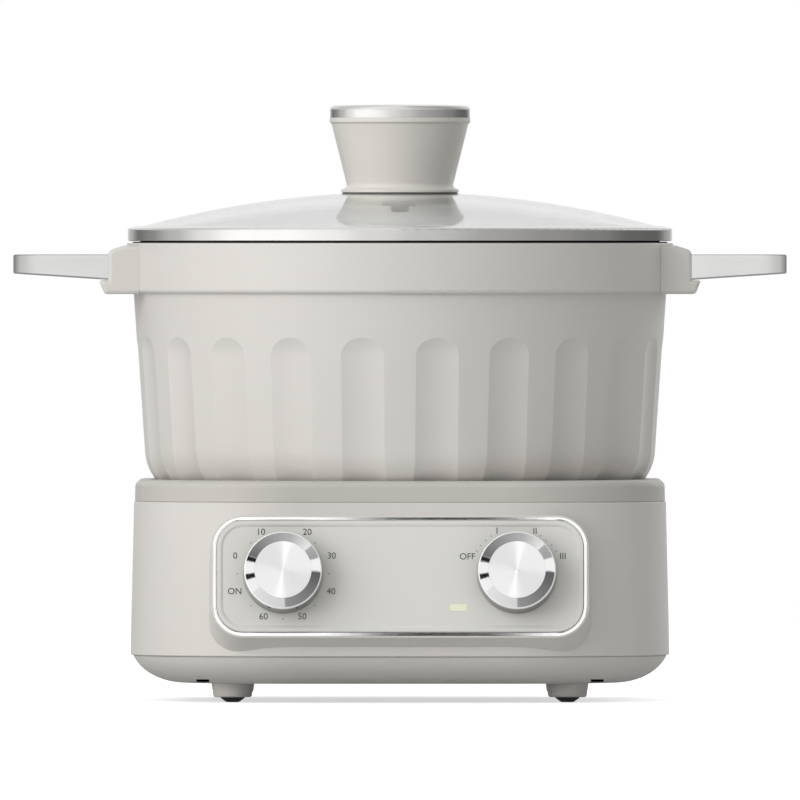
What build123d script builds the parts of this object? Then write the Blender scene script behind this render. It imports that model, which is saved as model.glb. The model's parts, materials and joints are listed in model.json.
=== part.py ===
from build123d import *
import math
import os

# Electric hot pot: a fluted pot with a glass lid, standing in a heating base.
# Millimetres, +Z up, the front faces -Y. Everything is built round the pot's axis and
# moved back by axis_shift at the end, so that the origin is under the middle of the whole.

# ---------------------------------------------------------------- driving dimensions
fit_gap = 0.05              # between curved faces that sit on each other
seat_gap = 0.2              # between the heating plate and the pot
lid_gap = 0.3               # between the pot's rim and the lid
turn_gap = 0.3              # round a shaft that turns, and behind a knob

# pot: its rim band's radius sets the size of the lid, the handles and the base
band_r = 131.2
band_height = 24.5
band_low_edge_r = 1.6
band_root_r = 1.3           # hollow corner between the band and the wall
pot_height = 123.5
pot_wall_top_r = band_r - 3.3   # outside radius of the wall just under the band
pot_wall_draft = 3.8        # degrees, the wall widens upward
pot_corner_r = 24.4
pot_wall = 3.6
pot_floor = 4.5
pot_sink = 9.5              # how deep the pot stands in the base
rim_step_r = band_r - 2.8   # raised seat of the rim, inside this radius
rim_step_drop = 0.6
flute_count = 22
flute_width = 20.6
flute_depth = 1.6
flute_below_band = 8.8      # to the end of the tool, which fades out well below it
flute_end_r = 24.0
flute_turn = 72.0           # degrees that a flute follows the bottom corner

# base
base_half = band_r - 2.2    # half the width of the shell at its lower edge
base_corner_r = 0.6 * base_half
base_draft = 1.33           # degrees, the side wall leans in
base_wall = 2.5
base_shell_height = 73.4
cover_height = 10.3         # top cover, seam to top
cover_edge_r = 3.2
cover_step = 0.4            # top cover stands in from the shell by this
dish_height = 13.3          # bottom cover, seam to flat underside
dish_curve_width = 26.0      # half axes of the ellipse that its side follows
dish_curve_height = 19.0
dish_core_r = 12.0          # corner radius of the flat middle of the bottom cover
seam_edge = 0.4             # small chamfer along the seams
notch_x = 0.73 * base_half  # small outlets in the front and back of the bottom cover
notch_width = 6.2
notch_height = 1.4
notch_rise = 0.7            # from the flat underside to the lower edge of an outlet
vent_length = 34.0
vent_width = 3.2
vent_pitch = 8.0
vent_count = 13             # in each of the two rows
vent_x = 30.0               # middle of a row of vents
post_r = 5.0
post_hole_depth = 16.0
screw_well = 8.0            # depth of the wells of the cover screws
cover_post = base_half - 37.6   # the posts of the cover screws stand here, both ways
cover_post_rise = 7.7       # lower and upper posts meet this far above the lower seam

# feet
foot_inset = 49.0           # from the side of the base to a foot's axis
foot_top_r = 10.1
foot_bottom_r = 9.1
foot_height = 6.6
foot_peg_r = 3.0
pad_r = 5.8
pad_flat_r = 3.0
pad_below_foot = 2.4
pad_socket_depth = 2.0
pad_step = 0.4              # the pad's widest edge is this far below the foot

# tray and heating plate
tray_gap = 1.8              # between the pot's corner and the tray
tray_floor_drop = 1.6       # tray floor below the top of the plate
tray_bead = 2.0             # width of the bead round the hole of the tray
tray_bead_height = 0.8
plate_r = 80.0
plate_edge_r = 1.0
plate_rim_width = 8.0
plate_rim_height = 6.3
plate_body_height = 6.0
plate_gap = 2.5             # between the plate and the tray
element_r = plate_r - 21.0
element_tube_r = 3.3
element_fit = 0.15          # round the tube in its groove
element_ridge_width = 13.0
element_ridge_height = 4.6
element_gap_angle = 40.0    # the ring is open by this angle
element_end = 14.0          # how far its ends are bent down
element_tab = 8.0           # length of the contact below each end
element_tab_r = 1.2
sensor_r = 15.0
sensor_hole_gap = 2.0
sensor_height = 10.0
sensor_side_t = 1.2
sensor_top_t = 2.0
sensor_stem_r = 2.5
sensor_stem_below = 6.0     # below the strap
spring_r = 5.6
spring_wire_r = 0.5
spring_turns = 5.0
strap_below_plate = 13.0
strap_width = 14.0
strap_t = 1.5
strap_margin = 8.0          # the bridge is wider than the sensor's hole by this
strap_foot = 12.0
fuse_y = -36.0
fuse_length = 22.0
fuse_width = 7.0
fuse_height = 6.0
fuse_tube_r = 2.6
fuse_tube_length = 30.0
shield_r = plate_r + 12.0
shield_corner_r = 4.0
shield_t = 0.8
shield_depth = 34.0         # shield floor below the underside of the plate's rim
shield_rim_height = 24.0
shield_hole_r = 20.0
leg_r = 3.0
leg_count = 3
leg_stud = 2.6              # how far a leg's stud goes into the plate
leg_thread = 16.0
plate_screw_length = 12.0
shield_post = 0.7 * plate_r # the posts under the shield stand here, both ways

# panel
panel_above_middle = 1.55   # panel's centre above the middle of the shell
panel_tilt = 8.0
panel_proud = 0.8           # how far the top of the boss stands out of the wall
boss_width = 2 * (base_half - 39.1)
boss_height = base_shell_height - 14.8
boss_corner_r = 15.4
boss_depth = 24.0
boss_side_flare = 1.7
boss_top_flare = 1.0
boss_bottom_flare = 10.5
ring_width = 1.9
ring_margin = 0.7           # from the edge of the boss to the chrome ring
ring_proud = 1.1
ring_edge_r = 0.85          # rounding of the chrome ring's front
plate_edge = 3.0            # border of the face plate, with its sloped step
plate_slope = 2.4           # width of the slope
face_t = 1.3
face_sink = 0.5
shaft_r = 3.0
shaft_flat = 2.0            # from the shaft's axis to its flat
shaft_hole_gap = 1.6
knob_spacing = boss_width - 68.4
knob_above_centre = 1.2
knob_r = 19.2
knob_front_r = 18.5
knob_height = 16.8
knob_face_r = 13.6
knob_bevel_height = 1.7
knob_edge_height = 0.7
knob_wall = 1.6
knob_hub_r = 6.0
knob_pocket = 1.0           # depth of the pocket for the face disc
knob_front_t = 2.2          # wall behind the pocket
knob_hub_recess = 0.6       # the hub ends this far inside the back edge
knob_face_rise = 0.35
pointer_width = 0.7
knob_point_angle = 67.5     # degrees left of the top, where both knobs point at rest
lens_width = 8.2
lens_height = 3.4
lens_corner_r = 0.6
lens_x = knob_spacing / 4
lens_below_centre = 15.0
lens_flange = 1.0           # the lens's flange behind the shell is this thick and wide
lamp_r = 1.9
board_width = 17.0
board_height = 13.0
board_t = 1.6
board_depth = 7.0           # from the shell to the board
board_spacer_r = 1.5
board_spacer_x = 6.9
board_spacer_y = 3.0
timer_width = 40.0
timer_depth = 24.0
timer_plate_t = 1.2
timer_bell_r = 13.0
timer_bell_depth = 5.0
timer_shaft_depth = 14.0    # how far the shaft goes into the works
switch_r = 17.0
switch_depth = 20.0
switch_plate_width = 38.0
switch_plate_height = 24.0
switch_shaft_depth = 12.0
lug_width = 5.0
lug_t = 0.8
lug_length = 7.0

# inlet at the back
inlet_rise = 23.7           # inlet's axis above the lower seam
inlet_flange_width = 50.0
inlet_flange_height = 27.0
inlet_flange_t = 1.6
inlet_flange_corner_r = 5.0
inlet_cavity_width = 24.6
inlet_cavity_height = 16.6
inlet_cavity_depth = 15.0
inlet_wall = 1.8
inlet_floor_t = 4.0
inlet_corner_r = 2.0
pin_width = 4.0
pin_t = 2.0
pin_spacing = 14.0
pin_length = 12.0
pin_tail = 8.0              # behind the inlet's floor
side_pin_drop = 1.5         # the outer pins are this far below the middle
earth_pin_rise = 2.5
inlet_screw_spacing = 40.0
inlet_screw_r = 1.5
inlet_screw_head_r = 2.8
inlet_screw_head_height = 1.8
inlet_screw_length = 8.0
terminal_x = -20.0
terminal_y = 92.0
terminal_width = 11.0
terminal_pitch = 13.0
terminal_depth = 14.0
terminal_height = 12.0
terminal_foot = (44.0, 18.0, 4.0)

# handles
bracket_half_width = 40.0
bracket_out_x = band_r + 8.6
bracket_drop = 2.6          # top of the bracket below the pot's top
bracket_height = 22.5
bracket_root = 12.0         # the ear is drawn this far into the band, then cut back to it
bracket_crown = 0.8         # its top rises this much where it meets the band
bracket_fall = 1.6          # and drops this much at its outer edge
bracket_lip = 4.4           # the part under the loop stands out by this
bracket_foot = 1.8          # and its lower edge by this
bracket_end_r = 2.0
loop_out_x = bracket_out_x + 45.7
loop_half_width = 37.5
loop_bar = 4.8
loop_corner_r = 19.0
loop_drop = 6.2             # top of the loop below the pot's top
loop_height_in = 12.1
loop_height_out = 9.1
loop_tongue = 10.0          # how far it goes into the bracket
loop_edge_r = 0.8
loop_under_gap = 0.3        # between the loop and the lip under it
screw_skin = 2.0            # metal left over a handle screw
screw_r = 2.0
screw_head_r = 3.6
screw_head_height = 2.2
screw_head_gap = 0.4        # over a sunk head
screw_clearance = 0.3       # round a screw in its clearance hole

# lid
glass_dome_r = 470.0
glass_t = 4.0
glass_r = band_r - 3.6
glass_edge_above = 6.0      # top of the glass edge above the underside of the rim
glass_hole_r = 4.2
rim_r = band_r - 0.4
rim_t = 0.6
rim_height = 6.1
rim_lip_r = rim_r - 4.5
rim_lip_rise = 1.2
skirt_gap = 1.2             # between the skirt and the pot's mouth
skirt_depth = 4.0
knob_foot_r = 28.2
knob_foot_t = 1.3
knob_foot_slope = 0.8       # height of the slope from the foot to the waist
knob_waist_r = 25.2
knob_top_r = 33.8
lid_knob_height = 35.6
lid_knob_lip = 2.1
lid_knob_wall = 3.0
lid_knob_roof = 4.0
lid_knob_floor = 4.0
knob_ledge = 2.2            # width of the rim that the cap rests on
knob_boss_r = 7.0
gasket_t = 0.6
gasket_inset = 0.5
cap_side = 5.8
cap_rise = 0.6
cap_edge_r = 2.2
cap_spigot = 1.3
washer_r = 8.5
washer_t = 2.0
lid_screw_r = 2.5
lid_screw_head_r = 4.35
lid_screw_head_height = 3.2
lid_screw_length = 24.0

# ---------------------------------------------------------------- heights and places
foot_z = pad_below_foot
foot_place = base_half - foot_inset
dish_z = foot_z + foot_height                       # flat underside of the bottom cover
shell_z = dish_z + dish_height                      # lower edge of the shell
seam_z = shell_z + base_shell_height                # shell to top cover
base_top_z = seam_z + cover_height
dish_floor_z = dish_z + base_wall
dish_curve_rise = dish_curve_height - dish_height   # middle of its ellipse above the seam
dish_step = dish_curve_width * (1 - math.sqrt(1 - (dish_curve_rise / dish_curve_height) ** 2))

wall_slope = math.tan(math.radians(pot_wall_draft))
cover_post_top = shell_z + cover_post_rise
panel_z = shell_z + base_shell_height / 2 + panel_above_middle
inlet_z = shell_z + inlet_rise
pot_z = base_top_z - pot_sink                       # underside of the pot
pot_top_z = pot_z + pot_height
band_z = pot_top_z - band_height
plate_z = pot_z - seat_gap                          # top of the heating plate
plate_rim_z = plate_z - plate_rim_height
plate_body_z = plate_rim_z - plate_body_height
tray_z = plate_z - tray_floor_drop
shield_z = plate_rim_z - shield_depth
strap_z = plate_body_z - strap_below_plate

lid_z = pot_top_z + lid_gap                         # underside of the lid's rim
glass_centre_z = (lid_z + glass_edge_above
                  - math.sqrt(glass_dome_r ** 2 - glass_r ** 2))

tilt = math.radians(panel_tilt)
boss_top_z = panel_z + boss_height / 2 * math.cos(tilt)


def half_width(z):
    """Half the width of the drafted base wall at height z."""
    return base_half - (z - shell_z) * math.tan(math.radians(base_draft))


panel_y = -(half_width(boss_top_z) + panel_proud + (boss_top_z - panel_z) * math.tan(tilt))
panel = Plane(origin=(0, panel_y, panel_z), x_dir=(1, 0, 0),
              z_dir=(0, -math.cos(tilt), math.sin(tilt)))
knob_back = face_t - face_sink + turn_gap            # back of a knob in front of the panel
knob_front_y = panel_y - knob_height * math.cos(tilt) - knob_r * math.sin(tilt)
axis_shift = (-knob_front_y - band_r) / 2

draft = math.radians(base_draft)
inlet = Plane(origin=(0, half_width(inlet_z), inlet_z), x_dir=(-1, 0, 0),
              z_dir=(0, math.cos(draft), math.sin(draft)))


def four_corners(distance):
    return [(sx * distance, sy * distance) for sx in (-1, 1) for sy in (-1, 1)]


feet_places = four_corners(foot_place)
cover_posts = four_corners(cover_post)
shield_posts = four_corners(shield_post)
leg_circle = plate_r - plate_rim_width / 2


# ---------------------------------------------------------------- helpers
def turned(points, radii=None, plane=Plane.XZ, axis=Axis.Z):
    """Solid of revolution; points are (radius, height), radii round the corners."""
    if radii is None:
        line = Polyline(*points, close=True)
    else:
        line = FilletPolyline(*points, radius=radii, close=True)
    return revolve(plane * make_face(line), axis)


def disc(radius, z_low, z_high, x=0.0, y=0.0):
    return Pos(x, y, z_low) * Cylinder(radius, z_high - z_low,
                                       align=(Align.CENTER, Align.CENTER, Align.MIN))


def block(width, depth, height, x=0.0, y=0.0, z=0.0):
    """Box standing on height z."""
    return Pos(x, y, z) * Box(width, depth, height, align=(Align.CENTER, Align.CENTER, Align.MIN))


def rounded_square(half, corner_r, z):
    return Plane.XY.offset(z) * RectangleRounded(2 * half, 2 * half, corner_r)


def base_slab(z_low, z_high, inset=0.0):
    """Block with the base's drafted outline, drawn in by inset."""
    half = half_width(z_low)
    outline = rounded_square(half - inset, base_corner_r - (base_half - half) - inset, z_low)
    return extrude(outline, z_high - z_low, taper=base_draft)


def screw(head_r, head_height, shank_r, length):
    """Pan head screw: the underside of its head is at z = 0 and the shank points up."""
    profile = [(0, -head_height), (head_r, -head_height), (head_r, 0), (shank_r, 0),
               (shank_r, length), (0, length)]
    return turned(profile, [0, head_height / 3, 0, 0, shank_r / 3, 0])


def pot_wall_radius(z):
    return pot_wall_top_r - (band_z - z) * wall_slope


# ---------------------------------------------------------------- pot
def flute_cutter():
    """Tool for one flute at +X: a round bar that follows the wall and the bottom corner."""
    middle_r = pot_wall_radius((pot_z + band_z) / 2)
    edge_x = math.sqrt(middle_r ** 2 - (flute_width / 2) ** 2)
    bottom_r = middle_r - flute_depth
    centre = (middle_r ** 2 - bottom_r ** 2) / (2 * (edge_x - bottom_r))
    bar_r = centre - bottom_r
    reach = centre - middle_r + pot_corner_r
    lean = math.radians(pot_wall_draft)
    corner = Vector(pot_wall_radius(pot_z) - pot_corner_r * math.tan((math.pi / 2 - lean) / 2),
                    0, pot_z + pot_corner_r)
    start = corner + Vector(math.cos(lean), 0, -math.sin(lean)) * reach
    section = Plane(origin=start, x_dir=(0, 1, 0), z_dir=(math.sin(lean), 0, math.cos(lean)))
    length = (band_z - flute_below_band - start.Z) / math.cos(lean)
    straight = extrude(section * Circle(bar_r), length)
    straight = fillet(straight.edges().sort_by(Axis.Z)[-1], flute_end_r)
    bend = revolve(section * Circle(bar_r), Axis(corner, (0, 1, 0)), flute_turn)
    return straight + bend


def pot_body():
    inner_top = pot_wall_radius(pot_top_z) - pot_wall
    floor_z = pot_z + pot_floor
    inner_foot = pot_wall_radius(floor_z) - pot_wall
    body = turned(
        [(0, pot_z), (pot_wall_radius(pot_z), pot_z), (pot_wall_top_r, band_z), (band_r, band_z),
         (band_r, pot_top_z - rim_step_drop), (rim_step_r, pot_top_z - rim_step_drop),
         (rim_step_r, pot_top_z), (inner_top, pot_top_z), (inner_foot, floor_z), (0, floor_z)],
        [0, pot_corner_r, band_root_r, band_low_edge_r, rim_step_drop, 0,
         rim_step_drop / 2, rim_step_drop / 2, pot_corner_r - pot_wall, 0])
    cutter = flute_cutter()
    pitch = 360 / flute_count
    return body - [Rot(0, 0, -90 + pitch * (i + 0.5)) * cutter for i in range(flute_count)]


def handle_loop():
    """Bent flat bar of the right-hand handle, with its two tongues in the bracket."""
    x_in = bracket_out_x - loop_tongue
    top_z = pot_top_z - loop_drop
    outer = FilletPolyline((x_in, -loop_half_width), (loop_out_x, -loop_half_width),
                           (loop_out_x, loop_half_width), (x_in, loop_half_width),
                           radius=[0, loop_corner_r, loop_corner_r, 0], close=True)
    inner_half = loop_half_width - loop_bar
    inner_r = loop_corner_r - loop_bar
    inner = FilletPolyline((x_in - 1, -inner_half), (loop_out_x - loop_bar, -inner_half),
                           (loop_out_x - loop_bar, inner_half), (x_in - 1, inner_half),
                           radius=[0, inner_r, inner_r, 0], close=True)
    plan = make_face(outer) - make_face(inner)
    bar = Pos(0, 0, top_z - loop_height_in) * extrude(plan, loop_height_in)
    below = Polyline((bracket_out_x, top_z - loop_height_in), (loop_out_x, top_z - loop_height_out),
                     (loop_out_x + 1, top_z - loop_height_out),
                     (loop_out_x + 1, top_z - loop_height_in - 1),
                     (bracket_out_x, top_z - loop_height_in - 1), close=True)
    bar -= extrude(Plane.XZ * make_face(below), loop_half_width + 1, both=True)
    outside = [e for e in bar.edges() if e.center().X > bracket_out_x]
    lengthwise = [e for e in outside if e.length > 2 * loop_bar and abs(e.tangent_at(0.5).Z) < 0.2]
    return fillet(lengthwise, loop_edge_r)


def handle_screw_places():
    x = bracket_out_x - loop_tongue / 2
    y = loop_half_width - loop_bar / 2
    return [(x, -y), (x, y)]


def bracket_bottom_z():
    return pot_top_z - bracket_drop - bracket_height


def screw_hole_top_z():
    return pot_top_z - loop_drop - screw_skin


def handle_bracket():
    """Right-hand ear on the rim band, with the pockets of the loop."""
    top_z = pot_top_z - bracket_drop
    lip_z = pot_top_z - loop_drop - loop_height_in - loop_under_gap
    bottom_z = bracket_bottom_z()
    root_x = band_r - bracket_root
    side = FilletPolyline((root_x, top_z + bracket_crown), (band_r + 1, top_z + bracket_crown),
                          (bracket_out_x, top_z - bracket_fall), (bracket_out_x, lip_z),
                          (bracket_out_x + bracket_lip, lip_z),
                          (bracket_out_x + bracket_foot, bottom_z), (root_x, bottom_z),
                          radius=[0, 3.0, 3.2, 0, 0.6, 2.2, 0], close=True)
    ear = extrude(Plane.XZ * make_face(side), bracket_half_width, both=True)
    end_edges = [e for e in ear.edges() if abs(abs(e.center().Y) - bracket_half_width) < 0.01]
    ear = fillet([e for e in end_edges if e.center().X > root_x + 0.1], bracket_end_r)
    ear -= disc(band_r + fit_gap, bottom_z - 5, pot_top_z + 5)
    ear -= handle_loop()
    head_top_z = bottom_z + screw_head_height + screw_head_gap
    for x, y in handle_screw_places():
        ear -= disc(screw_r + fit_gap, bottom_z - 1, screw_hole_top_z(), x, y)
        ear -= disc(screw_head_r + fit_gap, bottom_z - 1, head_top_z, x, y)
    return ear


def handle_screw_set():
    seat = bracket_bottom_z() + screw_head_height + screw_head_gap
    one = screw(screw_head_r, screw_head_height, screw_r, screw_hole_top_z() - 0.5 - seat)
    right = [Pos(x, y, seat) * one for x, y in handle_screw_places()]
    return right + [mirror(s, Plane.YZ) for s in right]


def drilled_loop():
    loop = handle_loop()
    for x, y in handle_screw_places():
        loop -= disc(screw_r + fit_gap, bracket_bottom_z(), screw_hole_top_z(), x, y)
    return loop


# ---------------------------------------------------------------- lid
def dome_point(radius, lift=0.0):
    """Point of the glass's outer surface, or of a parallel surface lift above it."""
    return radius, glass_centre_z + math.sqrt((glass_dome_r + lift) ** 2 - radius ** 2)


def dome_arc(r_from, r_to, lift=0.0):
    return ThreePointArc(dome_point(r_from, lift), dome_point((r_from + r_to) / 2, lift),
                         dome_point(r_to, lift))


def domed_ring(r_in, r_out, low, high):
    """Ring between two surfaces parallel to the glass."""
    outer_end = Line(dome_point(r_out, high), dome_point(r_out, low))
    inner_end = Line(dome_point(r_in, low), dome_point(r_in, high))
    face = make_face([dome_arc(r_in, r_out, high), outer_end, dome_arc(r_out, r_in, low), inner_end])
    return revolve(Plane.XZ * face, Axis.Z)


def lid_rim():
    shoulder_z = lid_z + rim_height
    lip_z = shoulder_z + rim_lip_rise
    skirt_r = pot_wall_radius(pot_top_z) - pot_wall - skirt_gap
    return turned(
        [(rim_lip_r, lip_z), (rim_r, shoulder_z), (rim_r, lid_z), (skirt_r, lid_z),
         (skirt_r, lid_z - skirt_depth), (skirt_r - rim_t, lid_z - skirt_depth),
         (skirt_r - rim_t, lid_z + rim_t), (rim_r - rim_t, lid_z + rim_t),
         (rim_r - rim_t, shoulder_z - rim_t), (rim_lip_r, lip_z - rim_t)],
        [0, 1.2, 0.9, 0.2, 0, 0, 0.2, 0.3, 0.5, 0])


def lid_seal():
    shoulder_z = lid_z + rim_height - rim_t - fit_gap
    lip_z = shoulder_z + rim_lip_rise
    outer_r = rim_r - rim_t - fit_gap
    inner_r = pot_wall_radius(pot_top_z) - pot_wall - skirt_gap - rim_t
    low_z = lid_z + rim_t
    return turned(
        [(inner_r, low_z), (outer_r, low_z), (outer_r, shoulder_z), (rim_lip_r, lip_z),
         dome_point(rim_lip_r, fit_gap), dome_point(glass_r + fit_gap, fit_gap),
         dome_point(glass_r + fit_gap, -glass_t - fit_gap), dome_point(inner_r, -glass_t - fit_gap)],
        [0, 0.5, 0.6, 0, 0, 0, 0, 0])


def lid_knob_top_z():
    return dome_point(0)[1] + lid_knob_height


def lid_knob():
    """Hollow plastic knob with a flared foot, a ledge for the cap and a boss for the screw."""
    foot_low_z = dome_point(knob_foot_r, gasket_t + fit_gap)[1]
    top_z = lid_knob_top_z()
    flare_z = foot_low_z + knob_foot_t
    waist_z = flare_z + knob_foot_slope
    lip_z = top_z - lid_knob_lip
    cone_top_r = knob_top_r - 0.9
    slope = (cone_top_r - knob_waist_r) / (lip_z - waist_z)
    ledge_r = knob_top_r - knob_ledge
    ledge_z = top_z - cap_spigot - 0.2
    floor_z = waist_z + lid_knob_floor
    roof_z = top_z - lid_knob_roof
    cavity_top_r = knob_waist_r + slope * (roof_z - waist_z) - lid_knob_wall
    cavity_low_r = knob_waist_r + slope * (floor_z - waist_z) - lid_knob_wall
    boss_top_z = washer_low_z() + lid_screw_length + 2
    body = turned(
        [(0, foot_low_z - 3), (knob_foot_r, foot_low_z - 3), (knob_foot_r, flare_z),
         (knob_waist_r, waist_z), (cone_top_r, lip_z - 0.8), (knob_top_r, lip_z), (knob_top_r, top_z),
         (ledge_r, top_z), (ledge_r, ledge_z), (cavity_top_r, ledge_z), (cavity_top_r, roof_z),
         (cavity_low_r, floor_z), (knob_boss_r, floor_z), (knob_boss_r, boss_top_z), (0, boss_top_z)],
        [0, 0, 0.6, 2.2, 1.0, 0.5, 0.4, 0, 0, 0, 0, 2.0, 1.0, 0.4, 0])
    body -= domed_ring(0, knob_foot_r + 1, -3 * glass_t, gasket_t + fit_gap)
    return body - disc(lid_screw_r + fit_gap, foot_low_z - 5, boss_top_z - 1.5)


def lid_knob_cap():
    z = lid_knob_top_z()
    side_r = knob_top_r - 0.2
    spigot_r = knob_top_r - knob_ledge - fit_gap
    shoulder = (side_r, z + cap_side)
    top = (0, z + cap_side + cap_rise)
    crown_r = (side_r ** 2 + cap_rise ** 2) / (2 * cap_rise)
    half_drop = crown_r - math.sqrt(crown_r ** 2 - (side_r / 2) ** 2)
    crown = ThreePointArc(shoulder, (side_r / 2, top[1] - half_drop), top)
    lines = Polyline(top, (0, z - cap_spigot), (spigot_r, z - cap_spigot), (spigot_r, z),
                     (side_r, z), shoulder)
    face = make_face([*lines.edges(), crown])
    corner = face.vertices().sort_by_distance((*shoulder, 0))[0]
    return revolve(Plane.XZ * fillet(corner, cap_edge_r), Axis.Z)


def lid_knob_gasket():
    return domed_ring(glass_hole_r, knob_foot_r - gasket_inset, fit_gap, gasket_t)


def washer_low_z():
    return dome_point(washer_r, -glass_t)[1] - fit_gap - washer_t


def lid_knob_washer():
    low = washer_low_z()
    hole = disc(lid_screw_r + screw_clearance, low - 1, low + washer_t + 1)
    return disc(washer_r, low, low + washer_t) - hole


def lid_knob_screw():
    one = screw(lid_screw_head_r, lid_screw_head_height, lid_screw_r, lid_screw_length)
    return Pos(0, 0, washer_low_z()) * one


# ---------------------------------------------------------------- base covers
def dish_solid(inset, edge):
    """Block with the bottom cover's curved underside, drawn in by inset, with its seam chamfer."""
    half = base_half - dish_step - inset
    corner = base_corner_r - dish_step - inset
    curve_w = dish_curve_width - inset
    curve_h = dish_curve_height - inset
    height = dish_height - inset
    centre_x = dish_step + inset - dish_curve_width
    turn = math.asin((dish_curve_rise + edge) / curve_h)
    edge_x = centre_x + curve_w * math.cos(turn)
    path = rounded_square(half, corner, shell_z).face().outer_wire()
    along = path % 0
    section = Plane(origin=path @ 0, x_dir=along.cross(Vector(0, 0, 1)), z_dir=-along)
    reach = corner - dish_core_r
    curve = EllipticalCenterArc((centre_x, dish_curve_rise), curve_w, curve_h, 270,
                                arc_size=90 - math.degrees(turn))
    sides = Polyline((edge_x, -edge), (edge_x - edge, 0), (-reach, 0), (-reach, -height),
                     (centre_x, -height))
    ring = sweep(section * make_face([curve, *sides.edges()]), path)
    core = rounded_square(half - reach, dish_core_r, shell_z - height)
    return ring + extrude(core, height)


def base_bottom_cover():
    cover = dish_solid(0, seam_edge) - dish_solid(base_wall, seam_edge / 10)
    for x, y in cover_posts:
        cover += disc(post_r, dish_floor_z - 1, cover_post_top, x, y)
    for x, y in shield_posts:
        cover += disc(post_r - 1, dish_floor_z - 1, shield_z, x, y)
    for x, y in cover_posts:
        cover -= disc(screw_r + screw_clearance, dish_z - 1, cover_post_top + 1, x, y)
        cover -= disc(screw_head_r + 2 * screw_clearance, dish_z - 1, dish_z + screw_well, x, y)
    vent = SlotOverall(vent_length, vent_width)
    rows = [(i - (vent_count - 1) / 2) * vent_pitch for i in range(vent_count)]
    vents = Sketch() + [Pos(x, y) * vent for x in (-vent_x, vent_x) for y in rows]
    cover -= extrude(Plane.XY.offset(dish_z - 1) * vents, base_wall + 2)
    for x, y in feet_places:
        cover -= disc(foot_peg_r + fit_gap, dish_z - 1, dish_floor_z + 1, x, y)
    for side in (-1, 1):
        cover -= block(notch_width, 3 * base_half, notch_height, side * notch_x, 0, dish_z + notch_rise)
    return cover


def feet():
    peg_z = dish_floor_z + 2
    foot = turned([(0, foot_z), (foot_bottom_r, foot_z), (foot_top_r, dish_z), (foot_peg_r, dish_z),
                   (foot_peg_r, peg_z), (0, peg_z)], [0, 1.2, 0, 0, 0.6, 0])
    foot -= disc(pad_r + fit_gap, foot_z - 1, foot_z + pad_socket_depth)
    return [Pos(x, y, 0) * foot for x, y in feet_places]


def foot_pads():
    top_z = foot_z + pad_socket_depth
    pad = turned([(0, 0), (pad_flat_r, 0), (pad_r, foot_z - pad_step), (pad_r, top_z), (0, top_z)],
                 [0, 1.5, 0.6, 0, 0])
    return [Pos(x, y, 0) * pad for x, y in feet_places]


def cover_screw_set():
    seat = dish_z + screw_well
    one = screw(screw_head_r, screw_head_height, screw_r, cover_post_top + post_hole_depth - 2 - seat)
    return [Pos(x, y, seat) * one for x, y in cover_posts]


def boss_loft(inset, depth_front, depth_back):
    """Block of the panel boss between two depths behind the panel's front."""
    ends = []
    for depth in (depth_front, depth_back):
        share = depth / boss_depth
        side = boss_side_flare * share
        top = boss_top_flare * share
        bottom = boss_bottom_flare * share
        width = boss_width + 2 * side - 2 * inset
        height = boss_height + top + bottom - 2 * inset
        corner = boss_corner_r + side * 2 - inset
        ends.append(panel.offset(-depth) * Pos(0, (top - bottom) / 2)
                    * RectangleRounded(width, height, corner))
    return loft(ends, ruled=True)


def knob_places():
    return [(-knob_spacing / 2, knob_above_centre), (knob_spacing / 2, knob_above_centre)]


def on_panel(x, y, depth=0.0):
    """Frame at a point of the panel's front, depth behind it, its Z pointing outward."""
    return panel.location * Pos(x, y, -depth)


def panel_hole(shape, depth=40.0):
    return panel * Pos(0, 0, -depth / 2) * extrude(shape, depth)


def lens_outline(clearance=0.0):
    return RectangleRounded(lens_width - 2 * clearance, lens_height - 2 * clearance,
                            lens_corner_r - clearance)


def inlet_body_outline(clearance=0.0):
    return RectangleRounded(inlet_cavity_width + 2 * inlet_wall + 2 * clearance,
                            inlet_cavity_height + 2 * inlet_wall + 2 * clearance, 3)


def inlet_screw_places():
    return [inlet.location * Pos(side * inlet_screw_spacing / 2, 0, 0) for side in (-1, 1)]


def base_shell():
    """Side wall of the base, open above and below, with the panel's boss standing out of its front."""
    slab = base_slab(shell_z, seam_z)
    rims = slab.edges().group_by(Axis.Z)
    shell = chamfer(rims[0] + rims[-1], seam_edge)
    between_seams = block(4 * base_half, 4 * base_half, base_shell_height, z=shell_z)
    shell += boss_loft(0, 0, boss_depth) & between_seams
    shell -= base_slab(shell_z - 1, seam_z + 1, base_wall)
    shell -= boss_loft(base_wall, base_wall, boss_depth + 8)
    for x, y in knob_places():
        shell -= panel_hole(Pos(x, y) * Circle(shaft_r + shaft_hole_gap))
    shell -= panel_hole(Pos(lens_x, -lens_below_centre) * lens_outline())
    shell -= inlet * Pos(0, 0, -10) * extrude(inlet_body_outline(fit_gap), 20)
    for place in inlet_screw_places():
        shell -= place * Cylinder(inlet_screw_r + fit_gap, 30)
    return shell


def tray_block(drop):
    """Turned block that fills the tray, or the space up to drop below the tray's surface."""
    arc_r = pot_corner_r + tray_gap + drop
    lean = math.radians(pot_wall_draft)
    corner_x = pot_wall_radius(pot_z) - pot_corner_r * math.tan((math.pi / 2 - lean) / 2)
    corner_z = pot_z + pot_corner_r
    low = tray_z - drop
    top = base_top_z + 5
    flat_x = corner_x + math.sqrt(max(arc_r ** 2 - (corner_z - low) ** 2, 0.0))
    top_x = corner_x + math.sqrt(arc_r ** 2 - (corner_z - top) ** 2)
    middle = math.radians(55)
    on_arc = (corner_x + arc_r * math.cos(middle), corner_z - arc_r * math.sin(middle))
    rim = ThreePointArc((flat_x, low), on_arc, (top_x, top))
    inside = Polyline((top_x, top), (0, top), (0, low), (flat_x, low))
    return revolve(Plane.XZ * make_face([rim, *inside.edges()]), Axis.Z)


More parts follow.
